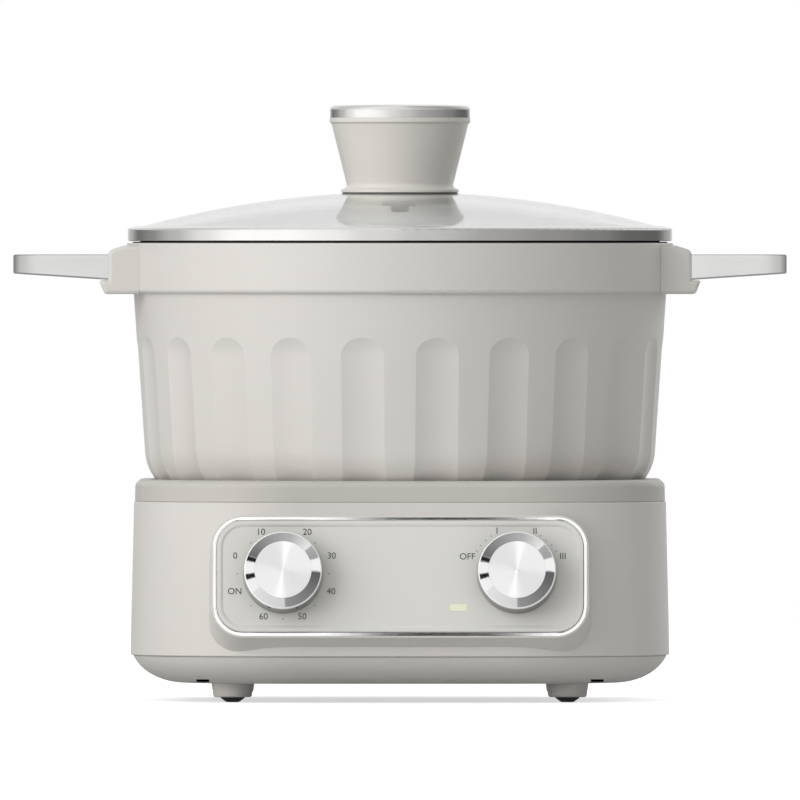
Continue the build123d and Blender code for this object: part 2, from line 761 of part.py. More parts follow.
def base_top_cover():
    """Lid of the base, with a round tray that follows the bottom corner of the pot."""
    outer = base_slab(seam_z, base_top_z, cover_step)
    outer = fillet(outer.edges().group_by(Axis.Z)[-1], cover_edge_r)
    outer = chamfer(outer.edges().group_by(Axis.Z)[0], seam_edge)
    cover = outer - base_slab(seam_z - 1, base_top_z - base_wall, base_wall)
    under_tray_z = tray_z - base_wall
    below_top = block(4 * base_half, 4 * base_half, base_top_z - 1 - under_tray_z, z=under_tray_z)
    cover += tray_block(base_wall) & below_top
    cover -= tray_block(0)
    hole_r = plate_r + plate_gap
    cover += disc(hole_r + tray_bead, tray_z - 1, tray_z + tray_bead_height)
    cover -= disc(hole_r, tray_z - 10, base_top_z)
    for x, y in cover_posts:
        cover += disc(post_r, cover_post_top, base_top_z - 1, x, y)
        cover -= disc(screw_r + fit_gap, cover_post_top - 1, cover_post_top + post_hole_depth, x, y)
    return cover


# ---------------------------------------------------------------- heating
def element_z():
    return plate_body_z - element_ridge_height / 2


def heating_element():
    """Sheathed ring in the ridge of the plate, with its two ends bent down."""
    section = Plane.XZ * Pos(element_r, element_z()) * Circle(element_tube_r)
    ring = Rot(0, 0, 90 + element_gap_angle / 2) * revolve(section, Axis.Z, 360 - element_gap_angle)
    end_z = element_z() - element_end
    for side in (-1, 1):
        angle = math.radians(90 + side * element_gap_angle / 2)
        x = element_r * math.cos(angle)
        y = element_r * math.sin(angle)
        ring += Pos(x, y, element_z()) * Sphere(element_tube_r)
        ring += disc(element_tube_r, end_z, element_z(), x, y)
        ring += disc(element_tab_r, end_z - element_tab, end_z + 1, x, y)
    return ring


def heating_plate():
    """Cast plate with a thin rim, a hole for the sensor and a ridge round the element below."""
    body_r = plate_r - plate_rim_width
    ridge_in = element_r - element_ridge_width / 2
    ridge_out = element_r + element_ridge_width / 2
    ridge_z = plate_body_z - element_ridge_height
    hole_r = sensor_r + sensor_hole_gap
    plate = turned(
        [(hole_r, plate_z), (plate_r, plate_z), (plate_r, plate_rim_z), (body_r, plate_rim_z),
         (body_r, plate_body_z), (ridge_out, plate_body_z), (ridge_out, ridge_z), (ridge_in, ridge_z),
         (ridge_in, plate_body_z), (hole_r, plate_body_z)],
        [0.6, plate_edge_r, 0.5, 0, 1.0, 0, 1.5, 1.5, 0, 0])
    groove_r = element_tube_r + element_fit
    groove = Pos(element_r, element_z()) * Circle(groove_r)
    groove += Pos(element_r, element_z() - 5) * Rectangle(2 * groove_r, 10)
    plate -= revolve(Plane.XZ * groove, Axis.Z)
    for place in leg_places():
        plate -= place * disc(screw_r + fit_gap, plate_rim_z - 1, plate_rim_z + leg_stud + 0.4)
    return plate


def leg_places():
    return [Rot(0, 0, 90 + 360 / leg_count * i) * Pos(leg_circle, 0, 0) for i in range(leg_count)]


def plate_legs():
    """Tapped spacers between the heat shield and the rim of the plate."""
    leg = disc(leg_r, shield_z + shield_t, plate_rim_z)
    leg -= disc(screw_r + fit_gap, shield_z, shield_z + leg_thread)
    leg += disc(screw_r, plate_rim_z - 1, plate_rim_z + leg_stud)
    return [place * leg for place in leg_places()]


def heat_shield():
    rim_top = shield_z + shield_rim_height
    inside_r = shield_r - shield_t
    floor_z = shield_z + shield_t
    pan = turned([(shield_hole_r, shield_z), (shield_r, shield_z), (shield_r, rim_top),
                  (inside_r, rim_top), (inside_r, floor_z), (shield_hole_r, floor_z)],
                 [0, shield_corner_r, 0, 0, shield_corner_r - shield_t, 0])
    for place in leg_places():
        pan -= place * disc(screw_r + screw_clearance, shield_z - 1, floor_z + 1)
    return pan


def plate_screw_set():
    one = Pos(0, 0, shield_z) * screw(screw_head_r, screw_head_height, screw_r, plate_screw_length)
    return [place * one for place in leg_places()]


def sensor_top_z():
    return pot_z - lid_gap


def sensor_cap():
    """Cup with a stem that slides in the strap."""
    top_z = sensor_top_z()
    low_z = top_z - sensor_height
    roof_z = top_z - sensor_top_t
    inner_r = sensor_r - sensor_side_t
    stem_z = strap_z - sensor_stem_below
    return turned(
        [(0, top_z), (sensor_r, top_z), (sensor_r, low_z), (inner_r, low_z), (inner_r, roof_z),
         (sensor_stem_r, roof_z), (sensor_stem_r, stem_z), (0, stem_z)],
        [0, 1.6, 0.3, 0.3, 0.8, 0, 0.6, 0])


def sensor_spring():
    low = strap_z + strap_t + spring_wire_r
    length = sensor_top_z() - sensor_top_t - spring_wire_r - low
    path = Pos(0, 0, low) * Helix(pitch=length / spring_turns, height=length, radius=spring_r)
    section = Plane(origin=path @ 0, z_dir=path % 0) * Circle(spring_wire_r)
    return sweep(section, path)


def sensor_strap():
    """Bridge under the plate that carries the foot of the sensor's spring."""
    span = 2 * (sensor_r + sensor_hole_gap) + strap_margin
    strap = block(span, strap_width, strap_t, z=strap_z)
    strap -= disc(sensor_stem_r + turn_gap, strap_z - 1, strap_z + strap_t + 1)
    side_x = (span - strap_t) / 2
    foot_x = span / 2 + strap_foot / 2 - strap_t
    for side in (-1, 1):
        strap += block(strap_t, strap_width, plate_body_z - strap_z, side * side_x, 0, strap_z)
        strap += block(strap_foot, strap_width, strap_t, side * foot_x, 0, plate_body_z - strap_t)
    return strap


def thermal_fuse():
    low_z = plate_body_z - fuse_height
    body = block(fuse_length, fuse_width, fuse_height, 0, fuse_y, low_z)
    tube = Pos(0, fuse_y, low_z) * Rot(0, 90, 0) * Cylinder(fuse_tube_r, fuse_tube_length)
    return body + tube


# ---------------------------------------------------------------- panel
def ring_size(inset):
    """Width, height and corner of the panel outline, inset from the edge of the boss."""
    return boss_width - 2 * inset, boss_height - 2 * inset, boss_corner_r - inset


def panel_frame():
    outer = RectangleRounded(*ring_size(ring_margin))
    inner = RectangleRounded(*ring_size(ring_margin + ring_width))
    ring = panel * extrude(outer - inner, ring_proud)
    front = ring.faces().sort_by(Axis(panel.origin, panel.z_dir))[-1]
    return fillet(front.edges(), ring_edge_r)


def face_plate():
    """Plate inside the chrome ring: a narrow border, a slope and a field that lies lower."""
    gap = ring_margin + ring_width + fit_gap
    outer = extrude(RectangleRounded(*ring_size(gap)), face_t)
    field_low = Plane.XY.offset(face_t - face_sink) * RectangleRounded(*ring_size(gap + plate_edge))
    field_high = (Plane.XY.offset(face_t + face_sink)
                  * RectangleRounded(*ring_size(gap + plate_edge - plate_slope)))
    plate = outer - loft([field_low, field_high], ruled=True)
    for x, y in knob_places():
        plate -= Pos(x, y, 0) * Cylinder(shaft_r + shaft_hole_gap, 10)
    plate -= Pos(lens_x, -lens_below_centre) * extrude(lens_outline(), 5)
    return panel * plate


def indicator_lens():
    """Window in the panel, with a flange behind the wall."""
    window = extrude(lens_outline(fit_gap), base_wall + face_t - face_sink + 0.1)
    flange = extrude(RectangleRounded(lens_width + 2 * lens_flange, lens_height + 3 * lens_flange, 1),
                     lens_flange)
    lens = Pos(0, 0, -base_wall) * window + Pos(0, 0, -base_wall - lens_flange) * flange
    return on_panel(lens_x, -lens_below_centre) * lens


def indicator_board():
    """Small board with the lamp behind the lens, on two spacers."""
    board = Pos(0, 0, -board_t) * extrude(RectangleRounded(board_width, board_height, 1), board_t)
    lamp = disc(lamp_r, 0, board_depth - lens_flange)
    board += lamp
    for side in (-1, 1):
        board += disc(board_spacer_r, 0, board_depth, side * board_spacer_x, board_spacer_y)
    return on_panel(lens_x, -lens_below_centre, base_wall + board_depth) * board


def shaft_bore(depth):
    return disc(shaft_r + turn_gap, -depth, 0)


def timer_body():
    """Clockwork can behind its mounting plate, with a bell at the back."""
    plate = extrude(RectangleRounded(timer_width, timer_width, 3), timer_plate_t)
    can = extrude(RectangleRounded(timer_width - 4, timer_width - 4, 4), timer_depth - timer_plate_t)
    body = Pos(0, 0, -timer_plate_t) * plate + Pos(0, 0, -timer_depth) * can
    body += disc(timer_bell_r, -timer_depth - timer_bell_depth, -timer_depth + 1)
    x, y = knob_places()[0]
    return on_panel(x, y, base_wall) * (body - shaft_bore(timer_shaft_depth + 4))


def heat_switch_body():
    """Rotary switch behind its mounting plate, with three contacts at the back."""
    plate = extrude(RectangleRounded(switch_plate_width, switch_plate_height, 3), timer_plate_t)
    lug = Pos(switch_r - 3, 0, -switch_depth - lug_length / 2 + 1) * Box(lug_width, lug_t, lug_length)
    body = disc(switch_r, -switch_depth, 0) + Pos(0, 0, -timer_plate_t) * plate
    body += [Rot(0, 0, angle) * lug for angle in (60, 180, 300)]
    x, y = knob_places()[1]
    return on_panel(x, y, base_wall) * (body - shaft_bore(switch_shaft_depth + 3))


def shaft(index, inside):
    """D shaft that reaches from the works behind the panel into the knob's hub."""
    x, y = knob_places()[index]
    rod = disc(shaft_r, -base_wall - inside, knob_height - knob_pocket - knob_front_t - 1.8)
    flat = block(2 * shaft_r, 2 * (shaft_r - shaft_flat), knob_height, y=shaft_r, z=knob_back)
    return on_panel(x, y) * (rod - flat)


def knob(index):
    """Turned knob: a hollow cup with a bevelled front, a hub with a D bore and a cut pointer."""
    x, y = knob_places()[index]
    bevel_z = knob_height - knob_bevel_height
    pocket_z = knob_height - knob_pocket
    pocket_r = knob_face_r + fit_gap
    inner_z = pocket_z - knob_front_t
    hub_z = knob_back + knob_hub_recess
    cup = turned(
        [(0, pocket_z), (pocket_r, pocket_z), (pocket_r, knob_height),
         (knob_front_r - knob_edge_height / 2, bevel_z), (knob_front_r, bevel_z - knob_edge_height),
         (knob_r, knob_back), (knob_r - knob_wall, knob_back), (knob_front_r - knob_wall, inner_z),
         (knob_hub_r, inner_z), (knob_hub_r, hub_z), (0, hub_z)],
        [0, 0, 0, 0.15, 0.3, 0.4, 0, 1.0, 1.0, 0.4, 0])
    bore_top_z = inner_z - 1.2
    bore = disc(shaft_r + fit_gap, hub_z - 1, bore_top_z)
    key = block(3 * shaft_r, 2 * (shaft_r - shaft_flat), bore_top_z, y=shaft_r + fit_gap)
    cup -= bore - key
    bevel_width = knob_front_r - knob_face_r
    lean = math.degrees(math.atan2(knob_bevel_height, bevel_width))
    pointer = Rot(-lean, 0, 0) * Box(pointer_width, bevel_width, pointer_width)
    pointer = Pos(0, knob_face_r + bevel_width / 2, knob_height - knob_bevel_height / 2) * pointer
    return on_panel(x, y) * (cup - Rot(0, 0, knob_point_angle) * pointer)


def knob_face(index):
    """Spun metal disc let into the front of the knob, slightly domed."""
    x, y = knob_places()[index]
    top = knob_height + knob_face_rise
    dome_r = (knob_face_r ** 2 + knob_face_rise ** 2) / (2 * knob_face_rise)
    face = disc(knob_face_r, knob_height - knob_pocket, top)
    face &= Pos(0, 0, top - dome_r) * Sphere(dome_r)
    return on_panel(x, y) * face


# ---------------------------------------------------------------- mains side
def pin_places():
    return [(-pin_spacing / 2, -side_pin_drop), (0, earth_pin_rise), (pin_spacing / 2, -side_pin_drop)]


def power_inlet():
    """Moulded inlet in the back wall: flange outside, socket with a floor inside."""
    flange = extrude(RectangleRounded(inlet_flange_width, inlet_flange_height, inlet_flange_corner_r),
                     inlet_flange_t)
    depth = inlet_cavity_depth + inlet_floor_t
    body = Pos(0, 0, inlet_flange_t - depth) * extrude(inlet_body_outline(), depth)
    cavity = RectangleRounded(inlet_cavity_width, inlet_cavity_height, inlet_corner_r)
    cavity_floor = inlet_flange_t - inlet_cavity_depth
    part = flange + body - Pos(0, 0, cavity_floor) * extrude(cavity, inlet_cavity_depth + 1)
    for x, y in pin_places():
        part -= Pos(x, y, -depth) * Box(pin_t + 2 * fit_gap, pin_width + 2 * fit_gap, 3 * depth)
    part = inlet * part
    for place in inlet_screw_places():
        part -= place * Cylinder(inlet_screw_r + fit_gap, 20)
    return part


def inlet_pins():
    tip_z = inlet_flange_t - inlet_cavity_depth + pin_length
    length = pin_length + inlet_floor_t + pin_tail
    pins = []
    for x, y in pin_places():
        pin = Pos(x, y, tip_z - length / 2) * Box(pin_t, pin_width, length)
        tip = pin.faces().sort_by(Axis.Z)[-1].edges()
        pins.append(inlet * chamfer(tip, pin_t / 4))
    return pins


def inlet_screws():
    one = screw(inlet_screw_head_r, inlet_screw_head_height, inlet_screw_r, inlet_screw_length)
    one = Pos(0, 0, inlet_flange_t) * Rot(180, 0, 0) * one
    return [place * one for place in inlet_screw_places()]


def terminal_block():
    """Three screw terminals on a foot that stands on the bottom cover."""
    block_of_three = block(*terminal_foot, terminal_x, terminal_y, dish_floor_z)
    for i in (-1, 0, 1):
        x = terminal_x + i * terminal_pitch
        block_of_three += block(terminal_width, terminal_depth, terminal_height, x, terminal_y,
                                dish_floor_z)
    return block_of_three


# ---------------------------------------------------------------- writing
def solids_of(shape):
    items = shape if isinstance(shape, list) else [shape]
    return [solid for item in items for solid in item.solids()]


def main():
    ear = handle_bracket()
    loop = drilled_loop()
    nodes = {
        "lid_glass": domed_ring(glass_hole_r, glass_r, -glass_t, 0),
        "lid_rim": lid_rim(),
        "lid_seal": lid_seal(),
        "lid_knob": lid_knob(),
        "lid_knob_cap": lid_knob_cap(),
        "lid_knob_gasket": lid_knob_gasket(),
        "lid_knob_washer": lid_knob_washer(),
        "lid_knob_screw": lid_knob_screw(),
        "pot_body": pot_body(),
        "handle_bracket_right": ear,
        "handle_bracket_left": mirror(ear, Plane.YZ),
        "handle_loop_right": loop,
        "handle_loop_left": mirror(loop, Plane.YZ),
        "handle_screws": handle_screw_set(),
        "base_shell": base_shell(),
        "base_top_cover": base_top_cover(),
        "base_bottom_cover": base_bottom_cover(),
        "feet": feet(),
        "foot_pads": foot_pads(),
        "cover_screws": cover_screw_set(),
        "heating_plate": heating_plate(),
        "heating_element": heating_element(),
        "plate_legs": plate_legs(),
        "plate_screws": plate_screw_set(),
        "heat_shield": heat_shield(),
        "thermal_fuse": thermal_fuse(),
        "sensor_strap": sensor_strap(),
        "sensor_cap": sensor_cap(),
        "sensor_spring": sensor_spring(),
        "panel_frame": panel_frame(),
        "face_plate": face_plate(),
        "indicator_lens": indicator_lens(),
        "indicator_board": indicator_board(),
        "timer_body": timer_body(),
        "timer_shaft": shaft(0, timer_shaft_depth),
        "timer_knob": knob(0),
        "timer_knob_face": knob_face(0),
        "heat_switch_body": heat_switch_body(),
        "heat_shaft": shaft(1, switch_shaft_depth),
        "heat_knob": knob(1),
        "heat_knob_face": knob_face(1),
        "power_inlet": power_inlet(),
        "inlet_pins": inlet_pins(),
        "inlet_screws": inlet_screws(),
        "terminal_block": terminal_block(),
    }
    os.makedirs("parts", exist_ok=True)
    for name, shape in nodes.items():
        placed = [Pos(0, axis_shift, 0) * solid for solid in solids_of(shape)]
        whole = placed[0] if len(placed) == 1 else Compound(children=placed)
        export_step(whole, f"parts/{name}.step")
    print(f"axis_shift {axis_shift:.3f}  panel_y {panel_y + axis_shift:.3f}  pot_z {pot_z:.2f}")


main()
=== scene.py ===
import json
import math

import bmesh
import bpy
from mathutils import Matrix, Vector


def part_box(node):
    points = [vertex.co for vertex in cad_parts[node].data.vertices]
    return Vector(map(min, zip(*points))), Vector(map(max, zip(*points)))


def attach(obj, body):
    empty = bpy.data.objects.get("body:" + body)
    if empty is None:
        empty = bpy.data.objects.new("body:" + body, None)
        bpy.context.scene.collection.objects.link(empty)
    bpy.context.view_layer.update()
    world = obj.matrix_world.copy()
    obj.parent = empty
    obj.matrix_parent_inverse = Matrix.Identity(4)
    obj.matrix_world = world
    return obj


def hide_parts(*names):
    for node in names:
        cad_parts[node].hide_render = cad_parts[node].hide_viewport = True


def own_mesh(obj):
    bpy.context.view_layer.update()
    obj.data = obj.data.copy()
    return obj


# Looks of the electric hot pot: materials, the sensor's spring, the printing on the panel, the
# camera, the floor and the light.
# Metres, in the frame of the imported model: +Z up, the front faces -Y.

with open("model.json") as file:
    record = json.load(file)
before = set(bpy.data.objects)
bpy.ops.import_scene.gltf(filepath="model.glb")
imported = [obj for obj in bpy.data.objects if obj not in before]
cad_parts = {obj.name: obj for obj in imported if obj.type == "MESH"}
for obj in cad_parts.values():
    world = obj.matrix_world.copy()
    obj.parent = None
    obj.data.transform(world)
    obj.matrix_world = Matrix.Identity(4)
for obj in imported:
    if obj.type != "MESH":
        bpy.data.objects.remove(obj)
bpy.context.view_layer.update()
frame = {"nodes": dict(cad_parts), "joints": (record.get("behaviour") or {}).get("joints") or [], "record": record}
nodes = frame["nodes"]
slots = {entry["node"]: entry["material_slot"] for entry in frame["record"]["subparts"]}


# ---------------------------------------------------------------- places and sizes of the part
def joint(name):
    return next(j for j in frame["joints"] if j["name"] == name)


timer_axis = Vector(joint("timer_turn")["pos_m"])
heat_axis = Vector(joint("heat_turn")["pos_m"])
dials_middle = (timer_axis + heat_axis) / 2
panel_out = Vector(joint("timer_turn")["axis"]).normalized()
panel_right = Vector((1, 0, 0))
panel_up = panel_out.cross(panel_right).normalized()
upwards = (0, 0, 1)

pot_low, pot_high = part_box("pot_body")
pot_axis = Vector(((pot_low.x + pot_high.x) / 2, (pot_low.y + pot_high.y) / 2, 0))
pot_corner = 0.0244             # radius of the pot's bottom corner
pot_slope = 0.0664              # its wall widens by this much per metre of height
pot_corner_middle = 0.0984      # radius of the circle that the corner's middle runs on
pot_wall_middle = 0.0026        # from its outer face to the middle of the metal behind a flute
rim_seat = 0.00062              # height of the raised seat of the rim, which the pot's coating paints dark as shade of the gap under the lid's rim
rim_gap = 0.0003                # the lid's rim stands this far above the seat
rim_turn = 0.0006               # height in which its lower edge turns under, and in which the painted shade on that edge fades out upwards
rim_edge = 0.0012               # its lower edge lies within this much of its side and its underside
rim_radius = (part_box("lid_rim")[1].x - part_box("lid_rim")[0].x) / 2
dial_rim = (0.01795, 0.01858)   # edges of the rim round the front of a dial, which is painted pale as a highlight; the side beyond it has painted shade
dial_blur = 0.00005             # half the width in which its chrome changes there, into painted highlight and painted shade
pointer_angle = math.radians(288.5)   # where the dials point at rest, clockwise from the top
pointer_half_width = 0.00072
field_depth = 0.0008            # the panel's field stands this far in front of the joint's origin


# ---------------------------------------------------------------- adding things to the scene
def placed(name, data):
    """New object in the scene."""
    thing = bpy.data.objects.new(name, data)
    bpy.context.scene.collection.objects.link(thing)
    return thing


def mesh_of(name, shape):
    """Mesh made of a bmesh shape."""
    mesh = bpy.data.meshes.new(name)
    shape.to_mesh(mesh)
    shape.free()
    return mesh


def assign(thing, material):
    thing.data.materials.clear()
    thing.data.materials.append(material)


# ---------------------------------------------------------------- shader nodes
white = (1, 1, 1, 1)


def srgb(r, g, b):
    """Linear colour of an 8-bit sRGB colour."""
    def linear(c):
        c /= 255
        return c / 12.92 if c <= 0.04045 else ((c + 0.055) / 1.055) ** 2.4
    return (linear(r), linear(g), linear(b), 1.0)


def scaled(value, factor):
    """A number, or a colour, times a factor."""
    if isinstance(value, tuple):
        return tuple(min(c * factor, 1.0) for c in value[:3]) + (1.0,)
    return value * factor


class Nodes:
    """Short way to add nodes to a node tree; a value is a socket, number, colour or vector."""

    # Sockets A, B and result of the Mix node, which has a set of them for each kind of data.
    mix_sockets = {"FLOAT": (2, 3, 0), "VECTOR": (4, 5, 1), "RGBA": (6, 7, 2)}

    def __init__(self, tree):
        self.tree = tree
        self.tree.nodes.clear()

    def add(self, kind, values=(), **settings):
        """New node; values go to its inputs by their names or places."""
        node = self.tree.nodes.new(kind)
        for key, setting in settings.items():
            setattr(node, key, setting)
        for key, value in dict(values).items():
            self.put(value, node.inputs[key])
        return node

    def put(self, value, socket):
        """Link a socket, or set it to a value."""
        if isinstance(value, bpy.types.NodeSocket):
            self.tree.links.new(value, socket)
        else:
            socket.default_value = value

    def math(self, operation, *values):
        node = self.add("ShaderNodeMath", enumerate(values), operation=operation)
        return node.outputs[0]

    def vector(self, operation, *values):
        """Maths on vectors, which gives a number for a length and for a dot product."""
        node = self.add("ShaderNodeVectorMath", enumerate(values), operation=operation)
        return node.outputs["Value" if operation in ("LENGTH", "DOT_PRODUCT") else "Vector"]

    def mix(self, factor, a, b, kind="FLOAT"):
        place_a, place_b, result = self.mix_sockets[kind]
        node = self.add("ShaderNodeMix", {0: factor, place_a: a, place_b: b}, data_type=kind)
        return node.outputs[result]

    def mix_shaders(self, factor, a, b):
        return self.add("ShaderNodeMixShader", {0: factor, 1: a, 2: b}).outputs[0]

    def step(self, value, low, high):
        """0 below low, 1 above high, smooth between."""
        node = self.add("ShaderNodeMapRange", {"Value": value, "From Min": low, "From Max": high},
                        interpolation_type="SMOOTHSTEP")
        return node.outputs[0]

    def ramp(self, value, *stops, interpolation="LINEAR"):
        """Colour ramp; stops are (position, colour or grey)."""
        node = self.add("ShaderNodeValToRGB", {"Fac": value})
        node.color_ramp.interpolation = interpolation
        elements = node.color_ramp.elements
        while len(elements) < len(stops):
            elements.new(0.5)
        for element, (position, colour) in zip(elements, stops):
            element.position = position
            element.color = colour if isinstance(colour, tuple) else (colour, colour, colour, 1)
        return node.outputs["Color"]

    def direction(self, place):
        """Share of a turn round the horizon and height, of the direction in which a place lies."""
        unit = self.vector("NORMALIZE", place)
        x, y, z = self.add("ShaderNodeSeparateXYZ", {0: unit}).outputs
        turn = self.math("ARCTAN2", x, self.math("MULTIPLY", y, -1.0))
        return self.math("ADD", self.math("DIVIDE", turn, 2 * math.pi), 0.5), z

    def around(self, share, levels):
        """Level by direction, for a share of a turn; levels are (degrees, level)."""
        stops = [((angle + 180) / 360, level) for angle, level in levels]
        return self.ramp(share, *stops, interpolation="EASE")

    def glow(self, kind, strength):
        """White light of that strength."""
        return self.add(kind, {"Color": white, "Strength": strength}).outputs[0]


class Graph(Nodes):
    """Nodes of a material with one principled shader."""

    def __init__(self, name):
        self.material = bpy.data.materials.new(name)
        self.material.use_nodes = True
        super().__init__(self.material.node_tree)
        self.shader = self.add("ShaderNodeBsdfPrincipled")
        self.output = self.add("ShaderNodeOutputMaterial", {"Surface": self.shader.outputs[0]})
        self.place = self.add("ShaderNodeTexCoord").outputs["Object"]

    def shade(self, **values):
        """Put values into the shader's inputs, in whose names _ stands for a space."""
        for key, value in values.items():
            self.put(value, self.shader.inputs[key.replace("_", " ")])

    def fed(self, name):
        """The socket that is linked to an input of the shader."""
        return self.shader.inputs[name].links[0].from_socket

    def tint(self, mask, colour):
        """Blend the base colour towards a colour where the mask is 1."""
        self.shade(Base_Color=self.mix(mask, self.fed("Base Color"), colour, "RGBA"))

    def bump(self, height, distance):
        node = self.add("ShaderNodeBump", {"Height": height, "Distance": distance})
        self.shade(Normal=node.outputs["Normal"])

    def height(self):
        return self.add("ShaderNodeSeparateXYZ", {0: self.place}).outputs["Z"]

    def radial(self, centre, axis):
        """Distance from an axis, and the direction round it, at each point of the surface."""
        across = self.vector("CROSS_PRODUCT", axis, self.vector("SUBTRACT", self.place, centre))
        return self.vector("LENGTH", across), self.vector("NORMALIZE", across)

    def noise(self, scale, detail=2.0, roughness=0.5, stretch=None):
        """Noise of that many waves per metre, stretched along an axis by stretch=(x, y, z)."""
        place = self.place
        if stretch:
            place = self.add("ShaderNodeMapping", {"Vector": place, "Scale": stretch}).outputs[0]
        node = self.add("ShaderNodeTexNoise", {"Vector": place, "Scale": scale, "Detail": detail,
                                               "Roughness": roughness})
        return node.outputs["Fac"]

    def varied(self, texture, value, share, low=0.3, high=0.7):
        """A value that varies by a share either way as the texture goes from low to high."""
        return self.ramp(texture, (low, scaled(value, 1 - share)), (high, scaled(value, 1 + share)))


# ---------------------------------------------------------------- materials
# Textures, as waves per metre, detail and roughness of a noise.
clouds = (9.0, 3.0)             # uneven colour of a coating
wear = (60.0, 4.0, 0.6)         # its uneven gloss
tone = (25.0, 3.0)              # uneven colour of a metal
polish = (180.0, 4.0, 0.6)      # its uneven gloss
speckle = (700.0, 3.0, 0.6)     # specks of the non-stick coating
smear = (14.0, 3.0)             # smears on glass

# Shares by which their colour and roughness vary, and the part of the wear in which they do.
coating_tint = 0.02
coating_wear = 0.07
wear_range = (0.35, 0.65)
metal_tint = 0.03
metal_wear = 0.15

# Grains, as waves per metre and height.
sprayed = (1100.0, 0.000012)
moulded = (2400.0, 0.00001)
satin = (2600.0, 0.000006)
painted = (3000.0, 0.000004)
soft = (1500.0, 0.00001)
glassy = (1500.0, 0.000004)
rubbery = (2400.0, 0.00002)
inked = (2600.0, 0.000004)
brushed = (900.0, 0.000002)

polished_steel = srgb(226, 225, 223)
coat_roughness = 0.12
quarter_turn = 0.25             # highlights stretch across the rings
painted_metallic = 0.1          # of the pointer's paint, and of the pale painted highlight on the rim of a dial

# Colour, roughness and grain of the coated and moulded pieces, and the weight of a clear coat.
coatings = {
    "base_plastic": (srgb(204, 201, 196), 0.42, moulded),
    "cover_plastic": (srgb(185, 182, 176), 0.4, moulded),
    "knob_plastic": (srgb(213, 210, 203), 0.34, satin, 0.15),
    "face_metal": (srgb(212, 211, 206), 0.36, painted),
    "silicone": (srgb(120, 118, 114), 0.6, soft),
    "dark_plastic": (srgb(38, 38, 38), 0.5, moulded),
    "pad_rubber": (srgb(28, 28, 28), 0.7, rubbery),
    "board": (srgb(34, 84, 50), 0.4, soft),
    "switch_plastic": (srgb(226, 223, 210), 0.5, moulded),
    "lens": (srgb(232, 234, 206), 0.25, glassy),
    "dark_ink": (srgb(56, 54, 52), 0.5, inked),
}
# Colour and roughness of the metals, and the stretch that turns their grain into brushing.
metals = {
    "knob_cap": (polished_steel, 0.13),
    "steel": (srgb(150, 150, 148), 0.32),
    "dark_steel": (srgb(66, 65, 62), 0.4),
    "handle_metal": (srgb(244, 244, 243), 0.2, (0.1, 1, 1)),
    "element_sheath": (srgb(176, 174, 168), 0.4),
    "panel_chrome": (srgb(250, 250, 250), 0.12),
    "brass": (srgb(214, 180, 110), 0.25),
}
# Lathe rings of the dials' faces and of the heating plate.
dial_rings = dict(pitch=0.00012, height=0.0000015, anisotropy=0.92)
plate_rings = dict(pitch=0.0008, height=0.00001, anisotropy=0.6)


def coated(name, colour, roughness, grain, coat=0.0):
    """Satin coating or moulded plastic: faint cloudy colour, uneven gloss and a fine grain."""
    g = Graph(name)
    waves, height = grain
    g.shade(Base_Color=g.varied(g.noise(*clouds), colour, coating_tint),
            Roughness=g.varied(g.noise(*wear), roughness, coating_wear, *wear_range),
            Coat_Weight=coat, Coat_Roughness=coat_roughness)
    g.bump(g.noise(waves), height)
    return g


def metal(name, colour, roughness, stretch=None):
    """Bare metal with uneven gloss and a faint grain, which stretch turns into brushing."""
    g = Graph(name)
    waves, height = brushed
    g.shade(Base_Color=g.varied(g.noise(*tone), colour, metal_tint), Metallic=1.0,
            Roughness=g.varied(g.noise(*polish, stretch), roughness, metal_wear))
    g.bump(g.noise(waves, stretch=stretch), height)
    return g


def turned_metal(name, colour, roughness, centre, axis, pitch, height, anisotropy):
    """Metal faced on a lathe: fine rings round the axis that stretch its highlights."""
    g = Graph(name)
    distance, tangent = g.radial(centre, axis)
    turns = g.math("MULTIPLY", distance, 1 / pitch)
    rings = g.add("ShaderNodeTexNoise", {"W": turns, "Scale": 1.0, "Detail": 2.0},
                  noise_dimensions="1D").outputs["Fac"]
    world_tangent = g.add("ShaderNodeVectorTransform", {0: tangent}, vector_type="VECTOR",
                          convert_from="OBJECT", convert_to="WORLD").outputs[0]
    g.shade(Base_Color=g.ramp(rings, (0.3, scaled(colour, 0.95)), (0.7, scaled(colour, 1.04))),
            Metallic=1.0, Roughness=roughness, Tangent=world_tangent, Anisotropic=anisotropy,
            Anisotropic_Rotation=quarter_turn)
    g.bump(rings, height)
    return g


def dial_chrome(name, centre):
    """Chrome of a dial: a painted pointer on the bevel in front, a pale painted highlight on the rim round its
    front and painted shade on its side.
    """
    g = metal(name, srgb(232, 232, 232), 0.07)
    distance, tangent = g.radial(centre, panel_out)
    inside, outside = (g.step(distance, edge - dial_blur, edge + dial_blur) for edge in dial_rim)
    rim = g.math("SUBTRACT", inside, outside)
    to_pointer = panel_right * math.sin(pointer_angle) + panel_up * math.cos(pointer_angle)
    facing = g.vector("DOT_PRODUCT", tangent, panel_out.cross(to_pointer))
    aside = g.math("MULTIPLY", g.vector("DOT_PRODUCT", tangent, to_pointer), distance)
    narrow = g.math("LESS_THAN", g.math("ABSOLUTE", aside), pointer_half_width)
    pointer = g.math("MULTIPLY", narrow, g.math("GREATER_THAN", facing, 0.0))
    pointer = g.math("MULTIPLY", pointer, g.math("SUBTRACT", 1.0, inside))
    # Painted highlight: the rim round the front is pale and nearly matt, standing for the white it mirrors.
    g.tint(rim, srgb(250, 250, 249))
    # Painted shade: the side is darkened, standing for the shaded panel that it mirrors.
    g.tint(outside, srgb(104, 102, 99))
    g.tint(pointer, srgb(30, 30, 30))
    g.shade(Metallic=g.mix(g.math("MAXIMUM", rim, pointer), 1.0, painted_metallic))
    return g


